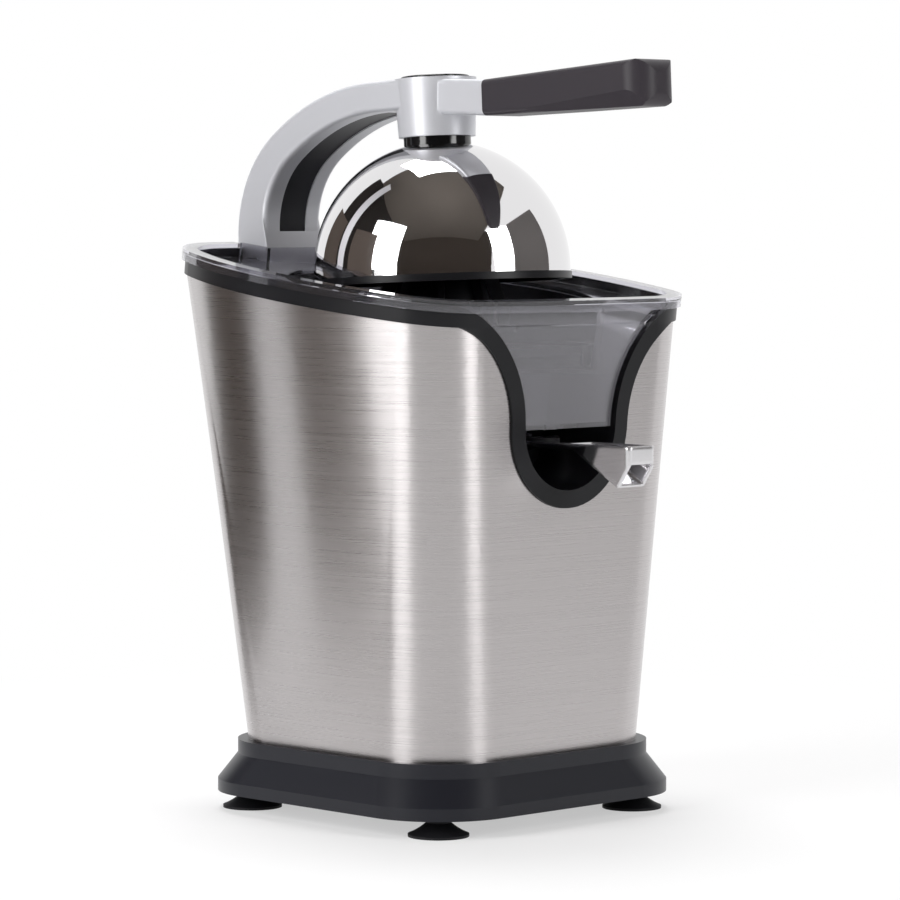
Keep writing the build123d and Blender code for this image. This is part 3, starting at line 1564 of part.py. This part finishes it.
with BuildPart() as grip:
    with BuildSketch(lever_cross(stub_end, grip_axis)):
        RectangleRounded(2 * grip_half, grip_height, grip_round)
    with BuildSketch(lever_cross(grip_end, grip_axis)):
        RectangleRounded(2 * grip_half, end_height, grip_round)
    loft()
    with BuildSketch(lever_level(stub_end, 0)):
        with Locations((0, -grip_length / 2)):
            RectangleRounded(2 * grip_half, grip_length, grip_end_round)
        with Locations((0, 0)):
            Rectangle(2 * grip_half, grip_length / 2, align=(Align.CENTER, Align.MAX))
    extrude(amount=2 * arm_top, mode=Mode.INTERSECT)
    with BuildSketch(lever_side(0)):
        with Locations((stub_end - grip_length / 2, grip_axis)):
            RectangleRounded(grip_length, end_height, grip_tip_round)
        with Locations((stub_end, grip_axis)):
            Rectangle(grip_length / 2, end_height, align=(Align.MAX, Align.CENTER))
    extrude(amount=grip_half, both=True, mode=Mode.INTERSECT)
    split(bisect_by=bevel_plane(1), keep=Keep.BOTTOM)
    split(bisect_by=bevel_plane(-1), keep=Keep.BOTTOM)
    with BuildSketch(lever_cross(stub_end, grip_axis)):
        Rectangle(2 * (tang_half + grip_gap), tang_height + 2 * grip_gap)
    extrude(amount=tang_length + grip_gap, mode=Mode.SUBTRACT)
finish(grip, "grip")


def dome_z(radius, out):
    # Height of a sphere about the dome's centre at a distance from its axis.
    return dome_centre + sqrt(radius**2 - out**2)


dome_low = dome_centre - dome_skirt
shell_inner = dome_radius - dome_wall
half_out = sqrt(0.5)
with BuildPart() as dome_shell:
    with BuildSketch(lever_side(-press_reach)):
        with BuildLine():
            ThreePointArc(
                (dome_radius, dome_centre),
                (dome_radius * half_out, dome_centre + dome_radius * half_out),
                (bolt_radius, dome_z(dome_radius, bolt_radius)),
            )
            Line((bolt_radius, dome_z(dome_radius, bolt_radius)), (bolt_radius, dome_z(shell_inner, bolt_radius)))
            ThreePointArc(
                (bolt_radius, dome_z(shell_inner, bolt_radius)),
                (shell_inner * half_out, dome_centre + shell_inner * half_out),
                (shell_inner, dome_centre),
            )
            Polyline(
                (shell_inner, dome_centre),
                (shell_inner, dome_low),
                (dome_radius, dome_low),
                (dome_radius, dome_centre),
            )
        make_face()
    revolve(axis=dome_axis)
finish(dome_shell, "dome_shell")

with BuildPart() as dome_collar:
    with BuildSketch(lever_side(-press_reach)):
        with BuildLine():
            ThreePointArc(
                (bolt_radius, dome_z(dome_radius, bolt_radius)),
                (collar_radius / 2, dome_z(dome_radius, collar_radius / 2)),
                (collar_radius, dome_z(dome_radius, collar_radius)),
            )
            Polyline(
                (collar_radius, dome_z(dome_radius, collar_radius)),
                (collar_radius, hub_low),
                (bolt_radius, hub_low),
                (bolt_radius, dome_z(dome_radius, bolt_radius)),
            )
        make_face()
    revolve(axis=dome_axis)
finish(dome_collar, "dome_collar")

# Press liner: a rim under the dome's edge and a hollow that stands well over the cone
liner_outer = liner_radius + liner_wall
liner_boss = 2.5 * bolt_radius
boss_flat = dome_z(shell_inner, liner_boss)
bolt_depth = 5 * bolt_radius
liner_top = liner_rise + liner_wall
quarter = 0.5523
with BuildPart() as dome_liner:
    with BuildSketch(lever_side(-press_reach)):
        with BuildLine():
            Bezier(
                (liner_radius, dome_low),
                (liner_radius, dome_low + quarter * liner_rise),
                (quarter * liner_radius, dome_low + liner_rise),
                (0, dome_low + liner_rise),
            )
            Line((0, dome_low + liner_rise), (0, dome_low + liner_top))
            Bezier(
                (0, dome_low + liner_top),
                (quarter * liner_outer, dome_low + liner_top),
                (liner_outer, dome_low + quarter * liner_top),
                (liner_outer, dome_low),
            )
            Polyline(
                (liner_outer, dome_low),
                (dome_radius + dome_edge, dome_low),
                (dome_radius + dome_edge, dome_low - dome_ring),
                (liner_radius, dome_low - dome_ring),
                (liner_radius, dome_low),
            )
        make_face()
    revolve(axis=dome_axis)
    with BuildSketch(lever_level(-press_reach, dome_low + liner_top - liner_wall / 2)):
        Circle(liner_boss)
    extrude(amount=boss_flat - dome_low - liner_top + liner_wall / 2)
    with BuildSketch(lever_level(-press_reach, boss_flat)):
        Circle(bolt_radius)
    extrude(amount=-bolt_depth, mode=Mode.SUBTRACT)
finish(dome_liner, "dome_liner")

with BuildPart() as dome_bolt:
    with BuildSketch(lever_level(-press_reach, head_low)):
        Circle(bolt_head)
    extrude(amount=bolt_head_height)
    with BuildSketch(lever_level(-press_reach, head_low)):
        Circle(bolt_radius)
    extrude(amount=boss_flat - bolt_depth - head_low)
    with BuildSketch(lever_level(-press_reach, cap_low)):
        RegularPolygon(bolt_radius, 6)
    extrude(amount=-bolt_head_height / 2, mode=Mode.SUBTRACT)
finish(dome_bolt, "dome_bolt")
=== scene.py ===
import math

import bpy
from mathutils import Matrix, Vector


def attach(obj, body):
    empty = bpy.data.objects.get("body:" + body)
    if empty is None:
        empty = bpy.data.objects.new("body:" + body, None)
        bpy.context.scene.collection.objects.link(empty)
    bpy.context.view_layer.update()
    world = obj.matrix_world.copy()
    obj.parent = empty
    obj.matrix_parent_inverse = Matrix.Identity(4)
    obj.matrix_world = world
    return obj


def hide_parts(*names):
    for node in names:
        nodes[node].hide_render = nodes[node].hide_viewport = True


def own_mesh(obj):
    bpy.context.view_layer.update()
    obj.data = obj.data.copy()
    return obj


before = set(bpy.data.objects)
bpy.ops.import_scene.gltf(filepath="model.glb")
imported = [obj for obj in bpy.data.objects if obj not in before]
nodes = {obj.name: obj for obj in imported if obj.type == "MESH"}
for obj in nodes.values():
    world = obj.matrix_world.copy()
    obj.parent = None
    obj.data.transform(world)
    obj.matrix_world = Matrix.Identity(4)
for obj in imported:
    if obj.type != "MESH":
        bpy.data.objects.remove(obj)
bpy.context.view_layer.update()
print("frame loaded:", len(nodes), "nodes")

mmPerMetre = 1000  # the scene is in metres
bumpReachMm = 0.2  # how high a bump of strength 1 stands
bevelSamples = 6
plainWhite = (1, 1, 1, 1)


def linearFromHex(code):
    # an sRGB colour code to the linear colour that a socket takes
    values = [int(code[i:i + 2], 16) / 255 for i in (1, 3, 5)]
    return [v / 12.92 if v <= 0.04045 else ((v + 0.055) / 1.055) ** 2.4 for v in values] + [1.0]


def addNode(tree, kind, settings=None, **sockets):
    # one node, its own settings, then its sockets: a value is set, a socket is linked
    # a socket goes by its name, with _ for a space, or by n and its place in the list
    node = tree.nodes.new(kind)
    for name, value in (settings or {}).items():
        setattr(node, name, value)
    for name, value in sockets.items():
        byPlace = name[0] == "n" and name[1:].isdigit()
        socket = node.inputs[int(name[1:]) if byPlace else name.replace("_", " ")]
        if isinstance(value, bpy.types.NodeSocket):
            tree.links.new(value, socket)
        else:
            socket.default_value = value
    return node


def newMaterial(name):
    material = bpy.data.materials.new(name)
    material.use_nodes = True
    tree = material.node_tree
    tree.nodes.clear()
    shader = addNode(tree, "ShaderNodeBsdfPrincipled")
    addNode(tree, "ShaderNodeOutputMaterial", Surface=shader.outputs[0])
    return material, tree, shader


def softEdges(tree, shader, radiusMm):
    # edges that were cast or polished round catch a thin line of light
    bevel = addNode(tree, "ShaderNodeBevel", {"samples": bevelSamples}, Radius=radiusMm / mmPerMetre)
    tree.links.new(bevel.outputs[0], shader.inputs["Normal"])


def plainMaterial(name, colour, metallic=0.0, roughness=0.5, edgeMm=0, gloss=None):
    material, tree, shader = newMaterial(name)
    shader.inputs["Base Color"].default_value = linearFromHex(colour)
    shader.inputs["Metallic"].default_value = metallic
    shader.inputs["Roughness"].default_value = roughness
    if gloss is not None:
        shader.inputs["Specular IOR Level"].default_value = gloss
    if edgeMm:
        softEdges(tree, shader, edgeMm)
    return material


def mouldedMaterial(name, colour, roughness, grainMm, grainStrength, gloss=0.22):
    # the mould's spark-eroded grain breaks the highlight; it is drawn coarser than real so that it shows
    material, tree, shader = newMaterial(name)
    place = addNode(tree, "ShaderNodeTexCoord")
    grain = addNode(
        tree, "ShaderNodeTexNoise",
        Vector=place.outputs["Object"], Scale=mmPerMetre / grainMm, Detail=2.0,
    )
    bump = addNode(
        tree, "ShaderNodeBump",
        Height=grain.outputs[0], Strength=grainStrength, Distance=bumpReachMm / mmPerMetre,
    )
    tree.links.new(bump.outputs[0], shader.inputs["Normal"])
    shader.inputs["Base Color"].default_value = linearFromHex(colour)
    shader.inputs["Roughness"].default_value = roughness
    shader.inputs["Specular IOR Level"].default_value = gloss
    return material


# the streaks are drawn coarser than real brush lines so that they show
brushedSteelValues = {
    "colour": "#C2BEBE", "dark": "#B9B5B5", "darkUpTo": 0.35, "lightFrom": 0.65,
    "roughness": 0.28, "smoother": 0.05, "rougher": 0.06, "anisotropy": 0.75, "smearTurn": 0.25,
    "streakMm": 0.35, "lengthMm": 60, "streakDetail": 3.0, "streakRoughness": 0.6, "grooveStrength": 0.12,
}


def brushedSteelMaterial(values):
    # stainless sheet brushed level round the body: reflections smear upright and stay crisp sideways
    material, tree, shader = newMaterial("stainless steel, brushed level")
    place = addNode(tree, "ShaderNodeTexCoord")
    along = mmPerMetre / values["lengthMm"]
    across = mmPerMetre / values["streakMm"]
    stretch = addNode(
        tree, "ShaderNodeMapping",
        Vector=place.outputs["Object"], Scale=(along, along, across),
    )
    streaks = addNode(
        tree, "ShaderNodeTexNoise",
        Vector=stretch.outputs[0], Scale=1.0,
        Detail=values["streakDetail"], Roughness=values["streakRoughness"],
    )
    rough = addNode(
        tree, "ShaderNodeMapRange",
        Value=streaks.outputs[0],
        To_Min=values["roughness"] - values["smoother"], To_Max=values["roughness"] + values["rougher"],
    )
    tone = addNode(tree, "ShaderNodeValToRGB", Fac=streaks.outputs[0])
    darkStop, lightStop = tone.color_ramp.elements
    darkStop.position = values["darkUpTo"]
    lightStop.position = values["lightFrom"]
    darkStop.color = linearFromHex(values["dark"])
    lightStop.color = linearFromHex(values["colour"])
    bump = addNode(
        tree, "ShaderNodeBump",
        Height=streaks.outputs[0], Strength=values["grooveStrength"], Distance=bumpReachMm / mmPerMetre,
    )
    around = addNode(tree, "ShaderNodeTangent", {"direction_type": "RADIAL", "axis": "Z"})
    tree.links.new(tone.outputs[0], shader.inputs["Base Color"])
    shader.inputs["Metallic"].default_value = 1.0
    shader.inputs["Anisotropic"].default_value = values["anisotropy"]
    shader.inputs["Anisotropic Rotation"].default_value = values["smearTurn"]
    tree.links.new(rough.outputs[0], shader.inputs["Roughness"])
    tree.links.new(bump.outputs[0], shader.inputs["Normal"])
    tree.links.new(around.outputs[0], shader.inputs["Tangent"])
    return material


# heights over the table: hazed below, partly by a fine frost and partly by painted light that stands in for
# the lit inside seen through it; clear above
smokyClearValues = {
    "colour": "#DCDBE2", "frostAndLightTopMm": 240, "clearFromMm": 250, "frostAndPaintedLight": 0.88, "clear": 0.985,
    "roughness": 0.04, "ior": 1.5,
}


def smokyClearMaterial(values):
    # clear smoke plastic: polished and see-through at the lip; in bowl and chute below it is hazed pale,
    # partly by a fine frost and partly as painted light for the lit inside seen through it
    material, tree, shader = newMaterial("SAN, moulded clear smoke")
    place = addNode(tree, "ShaderNodeTexCoord")
    level = addNode(tree, "ShaderNodeSeparateXYZ", Vector=place.outputs["Object"])
    clear = addNode(
        tree, "ShaderNodeMapRange",
        Value=level.outputs["Z"],
        From_Min=values["frostAndLightTopMm"] / mmPerMetre, From_Max=values["clearFromMm"] / mmPerMetre,
        To_Min=values["frostAndPaintedLight"], To_Max=values["clear"],
    )
    # less see-through low down: the pale colour that shows there is partly frost and partly painted light
    tree.links.new(clear.outputs[0], shader.inputs["Transmission Weight"])
    shader.inputs["Base Color"].default_value = linearFromHex(values["colour"])
    shader.inputs["Roughness"].default_value = values["roughness"]
    shader.inputs["IOR"].default_value = values["ior"]
    return material


brushedSteel = brushedSteelMaterial(brushedSteelValues)
smokyClear = smokyClearMaterial(smokyClearValues)

# satin mould: a soft, broad sheen on the slopes of the base
satinBlack = mouldedMaterial(
    "ABS, moulded satin black", "#1B1C23", roughness=0.34, grainMm=0.9, grainStrength=0.05, gloss=0.3)
# the same mould finish in a deeper black with less sheen
trimBlack = mouldedMaterial(
    "ABS, moulded satin trim", "#141417", roughness=0.32, grainMm=0.9, grainStrength=0.04)
# matt mould: the edge by the light shows, the faces stay even
gripGrey = mouldedMaterial(
    "ABS, moulded matt grey", "#353136", roughness=0.42, grainMm=0.7, grainStrength=0.08)
# a dull strip that stands off from the bright arm round it
insertGrey = mouldedMaterial(
    "ABS, moulded dark grey strip", "#2A2A2E", roughness=0.4, grainMm=0.9, grainStrength=0.05)
# soft and dusty: hardly any highlight
softRubber = mouldedMaterial(
    "rubber, moulded black", "#17171A", roughness=0.6, grainMm=0.6, grainStrength=0.1)
# polished mould: small sharp highlights on black
glossBlack = plainMaterial("ABS, moulded gloss black", "#0E0E10", roughness=0.12)
# polished before plating: a clear mirror
mirrorChrome = plainMaterial("steel, polished and chromed", "#E4E3E4", metallic=1.0, roughness=0.035)
# plated over a casting: a slightly soft mirror with rounded, bright edges
spoutChrome = plainMaterial(
    "zinc alloy, cast and chromed", "#D9D8DA", metallic=1.0, roughness=0.09, edgeMm=2.2)
# metal flake under a satin lacquer: pale and even, with a soft glow instead of a mirror
satinSilver = plainMaterial(
    "zinc alloy, satin silver lacquer", "#CDCED3", metallic=0.4, roughness=0.38, edgeMm=1.0)
# bright plating with a slight haze
zincSteel = plainMaterial("steel, zinc plated", "#B9BABD", metallic=1.0, roughness=0.3)
# a film of lacquer: black with a broad, weak highlight
blackSteel = plainMaterial("steel, black lacquered", "#17181B", roughness=0.35)
# pressed from powder: a dull golden metal
bronzeBush = plainMaterial("bronze, sintered", "#A87C4A", metallic=1.0, roughness=0.45)
# enamel over copper: a warm, half-bright metal
copperWire = plainMaterial("copper wire, enamelled", "#9C5A34", metallic=0.9, roughness=0.35)
# undyed plastic: creamy white with a waxy sheen
naturalNylon = plainMaterial("acetal, moulded natural", "#E6E3D8", roughness=0.4)
# the skin of a casting: grey metal that mirrors nothing clearly
greyAlloy = plainMaterial("aluminium, die cast", "#A9AAAD", metallic=1.0, roughness=0.45)
# stacked sheets under varnish: dark grey and dull
coreSteel = plainMaterial("electrical steel, varnished", "#4A4A4E", metallic=0.8, roughness=0.5)

nodeFinish = {
    # base and body
    "suction_feet": softRubber, "base_plate": satinBlack, "base_skirt": satinBlack,
    "base_screws": zincSteel, "body_screws": zincSteel, "cord_gland": softRubber,
    "steel_shell": brushedSteel, "upper_housing": trimBlack,
    # juice path
    "juice_tray": smokyClear, "strainer": trimBlack, "juicing_cone": trimBlack, "shaft_seal": softRubber,
    "spout": spoutChrome, "spout_pad": softRubber, "spout_pin": zincSteel,
    # drive and switch
    "gearbox_case": naturalNylon, "gearbox_cover": naturalNylon, "gearbox_screws": zincSteel,
    "case_screws": zincSteel, "idler_axle": zincSteel, "idler_gear": naturalNylon,
    "output_gear": naturalNylon, "drive_shaft": zincSteel, "shaft_bush": bronzeBush,
    "motor_bracket_upper": greyAlloy, "motor_bracket_lower": greyAlloy, "motor_stator": coreSteel,
    "motor_coils": copperWire, "motor_screws": zincSteel, "stack_bolts": zincSteel,
    "motor_rotor": coreSteel, "motor_pinion": zincSteel, "cooling_fan": naturalNylon,
    "switch_bracket": zincSteel, "microswitch": glossBlack, "switch_plunger": naturalNylon,
    "return_spring": zincSteel,
    # lever and press
    "hinge_bracket": blackSteel, "hinge_screws": blackSteel, "hinge_rod": zincSteel,
    "hinge_bushes": bronzeBush, "lever_arm": satinSilver, "arm_insert": insertGrey, "hub_cap": glossBlack,
    "grip": gripGrey, "dome_shell": mirrorChrome, "dome_collar": glossBlack, "dome_liner": trimBlack,
    "dome_bolt": zincSteel,
}
sharpAngle = 28  # degrees: flatter edges are shaded as one round face
for name, node in nodes.items():
    node.data.materials.clear()
    node.data.materials.append(nodeFinish[name])
    node.data.shade_smooth()
    node.data.set_sharp_from_angle(angle=math.radians(sharpAngle))
print("finishes given:", len(nodeFinish))

# a copy of the spring stands in for it, so that it can shorten under the plunger
springValues = {"name": "return_spring_coil", "pressMm": 2.5}  # how far the plunger comes down on it
springCoil = bpy.data.objects.new(springValues["name"], nodes["return_spring"].data.copy())
bpy.context.scene.collection.objects.link(springCoil)
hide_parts("return_spring")
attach(springCoil, "housing")
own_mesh(springCoil)
print("spring set under the plunger")


def seenDirectly(tree):
    # 1 for what the camera sees, also in metal and through clear plastic, and 0 for what only lights
    path = addNode(tree, "ShaderNodeLightPath")
    mirrored = addNode(
        tree, "ShaderNodeMath", {"operation": "MAXIMUM"},
        n0=path.outputs["Is Camera Ray"], n1=path.outputs["Is Glossy Ray"],
    )
    through = addNode(
        tree, "ShaderNodeMath", {"operation": "MAXIMUM"},
        n0=mirrored.outputs[0], n1=path.outputs["Is Transmission Ray"],
    )
    return through.outputs[0]


# the world looks white and lights the part with less
worldValues = {"fill": 0.5, "shown": 1.0}
world = bpy.data.worlds.new("white studio")
bpy.context.scene.world = world
world.use_nodes = True
skyTree = world.node_tree
skyTree.nodes.clear()
seen = seenDirectly(skyTree)
fill = addNode(skyTree, "ShaderNodeBackground", Color=plainWhite, Strength=worldValues["fill"])
white = addNode(skyTree, "ShaderNodeBackground", Color=plainWhite, Strength=worldValues["shown"])
mixed = addNode(skyTree, "ShaderNodeMixShader", n0=seen, n1=fill.outputs[0], n2=white.outputs[0])
addNode(skyTree, "ShaderNodeOutputWorld", Surface=mixed.outputs[0])


def stageSheet(name, centre, facing, width, height, material):
    mesh = bpy.data.meshes.new(name)
    w = width / 2
    h = height / 2
    mesh.from_pydata([(-w, -h, 0), (w, -h, 0), (w, h, 0), (-w, h, 0)], [], [(0, 1, 2, 3)])
    sheet = bpy.data.objects.new(name, mesh)
    bpy.context.scene.collection.objects.link(sheet)
    sheet.location = centre
    sheet.rotation_mode = "QUATERNION"
    sheet.rotation_quaternion = Vector(facing).to_track_quat("Z", "Y")
    mesh.materials.append(material)
    return sheet


# side and fade in metres from the middle of the part
floorValues = {
    "side": 12, "colour": "#F4F4F5", "roughness": 0.9, "gloss": 0.1,
    "whiteShare": 0.5, "fadeFrom": 0.12, "fadeTo": 0.6, "shown": 1.0,
}


def floorMaterial(values):
    # matt paper sweep: half its look is lit, which keeps the shadow, and it fades to plain white further out
    material, tree, shader = newMaterial("paper, matt white")
    shader.inputs["Base Color"].default_value = linearFromHex(values["colour"])
    shader.inputs["Roughness"].default_value = values["roughness"]
    shader.inputs["Specular IOR Level"].default_value = values["gloss"]
    place = addNode(tree, "ShaderNodeTexCoord")
    reach = addNode(tree, "ShaderNodeVectorMath", {"operation": "LENGTH"}, n0=place.outputs["Object"])
    fade = addNode(
        tree, "ShaderNodeMapRange",
        Value=reach.outputs["Value"],
        From_Min=values["fadeFrom"], From_Max=values["fadeTo"], To_Min=values["whiteShare"],
    )
    share = addNode(
        tree, "ShaderNodeMath", {"operation": "MULTIPLY"},
        n0=seenDirectly(tree), n1=fade.outputs[0],
    )
    white = addNode(tree, "ShaderNodeEmission", Color=plainWhite, Strength=values["shown"])
    mixed = addNode(
        tree, "ShaderNodeMixShader",
        n0=share.outputs[0], n1=shader.outputs[0], n2=white.outputs[0],
    )
    output = next(n for n in tree.nodes if n.type == "OUTPUT_MATERIAL")
    tree.links.new(mixed.outputs[0], output.inputs["Surface"])
    return material


floorSide = floorValues["side"]
stageSheet("floor", (0, 0, 0), (0, 0, 1), floorSide, floorSide, floorMaterial(floorValues))

# boards to be mirrored in the steel and the dome: middle, point faced, and width by height, in metres
cardFinish = {"roughness": 0.9, "gloss": 0.1}
reflectionCards = {
    "wall behind the camera": {
        "centre": (-2.4, -2.5, 1.3), "target": (0, 0, 0.4), "size": (7.0, 3.4), "colour": "#544C46",
        "shades": True,
    },
    "ceiling": {
        "centre": (-0.8, -0.8, 2.7), "target": (-0.6, -0.6, 1.7), "size": (4.6, 4.6), "colour": "#7A736C",
        "shades": True,
    },
    "side wall": {
        "centre": (-1.9, 1.9, 1.6), "target": (0, 0, 0.7), "size": (3.4, 3.6), "colour": "#3A3634",
        "shades": True,
    },
    "white strip": {
        "centre": (-1.15, 1.75, 1.3), "target": (0, 0, 0.5), "size": (0.34, 3.0), "colour": "#F4F4F8",
        "shades": True,
    },
    "right wall": {
        "centre": (2.4, -2.5, 1.0), "target": (0, 0, 0.3), "size": (3.0, 3.0), "colour": "#8C8886",
        "shades": True,
    },
    # two dark flags close beside the body give the steel its brown bands, and throw no shadow
    "left flag": {
        "centre": (-0.437, 0.242, 0.26), "target": (0, 0, 0.26), "size": (0.24, 0.5), "colour": "#5C534D",
        "shades": False,
    },
    "far left flag": {
        "centre": (-0.171, 0.47, 0.26), "target": (0, 0, 0.26), "size": (0.2, 0.5), "colour": "#5C534D",
        "shades": False,
    },
}


def reflectionCard(name, values):
    # matt board that no camera sees
    facing = [t - c for t, c in zip(values["target"], values["centre"])]
    width, height = values["size"]
    board = plainMaterial(
        "board, " + name, values["colour"], roughness=cardFinish["roughness"], gloss=cardFinish["gloss"])
    card = stageSheet(name, values["centre"], facing, width, height, board)
    card.visible_camera = False
    card.visible_diffuse = values["shades"]
    card.visible_shadow = values["shades"]


for name, values in reflectionCards.items():
    reflectionCard(name, values)

# soft lamps: place, point lit, and width by height, in metres
softLamps = {
    "left softbox": {"place": (-1.95, 0.3, 0.95), "target": (0, 0, 0.2), "size": (1.1, 1.4), "watts": 38},
    "right softbox": {"place": (0.5, -2.1, 0.95), "target": (0, 0, 0.2), "size": (0.8, 1.3), "watts": 22},
    "top softbox": {"place": (0.3, 0.5, 1.9), "target": (0, 0, 0.2), "size": (0.8, 0.8), "watts": 24},
}


def softLamp(name, values):
    data = bpy.data.lights.new(name, "AREA")
    data.shape = "RECTANGLE"
    data.size, data.size_y = values["size"]
    data.energy = values["watts"]
    lamp = bpy.data.objects.new(name, data)
    bpy.context.scene.collection.objects.link(lamp)
    lamp.location = values["place"]
    lamp.rotation_mode = "QUATERNION"
    lamp.rotation_quaternion = (Vector(values["place"]) - Vector(values["target"])).to_track_quat("Z", "Y")


for name, values in softLamps.items():
    softLamp(name, values)
print("stage set:", len(reflectionCards), "boards and", len(softLamps), "lamps")

# camera: a little above the rim, left of the front; angles in degrees, distance and aim height in metres
cameraValues = {
    "azimuth": -44.0, "elevation": 3.41, "distance": 2.0, "aimHeight": 0.176, "clipEnd": 50,
    "lensMm": 163.3, "sensorMm": 36.0, "shiftPx": 8, "framePx": 900,
}
camData = bpy.data.cameras.new("photo camera")
camData.sensor_width = cameraValues["sensorMm"]
camData.lens = cameraValues["lensMm"]
camData.shift_x = cameraValues["shiftPx"] / cameraValues["framePx"]
camData.clip_end = cameraValues["clipEnd"]
cam = bpy.data.objects.new("photo camera", camData)
bpy.context.scene.collection.objects.link(cam)
azimuth = math.radians(cameraValues["azimuth"])
elevation = math.radians(cameraValues["elevation"])
level = math.cos(elevation)
back = Vector((math.sin(azimuth) * level, -math.cos(azimuth) * level, math.sin(elevation)))
cam.location = Vector((0, 0, cameraValues["aimHeight"])) + back * cameraValues["distance"]
cam.rotation_mode = "QUATERNION"
cam.rotation_quaternion = (-back).to_track_quat("-Z", "Y")
bpy.context.scene.camera = cam
bpy.context.scene.view_settings.view_transform = "Standard"
print("camera set")
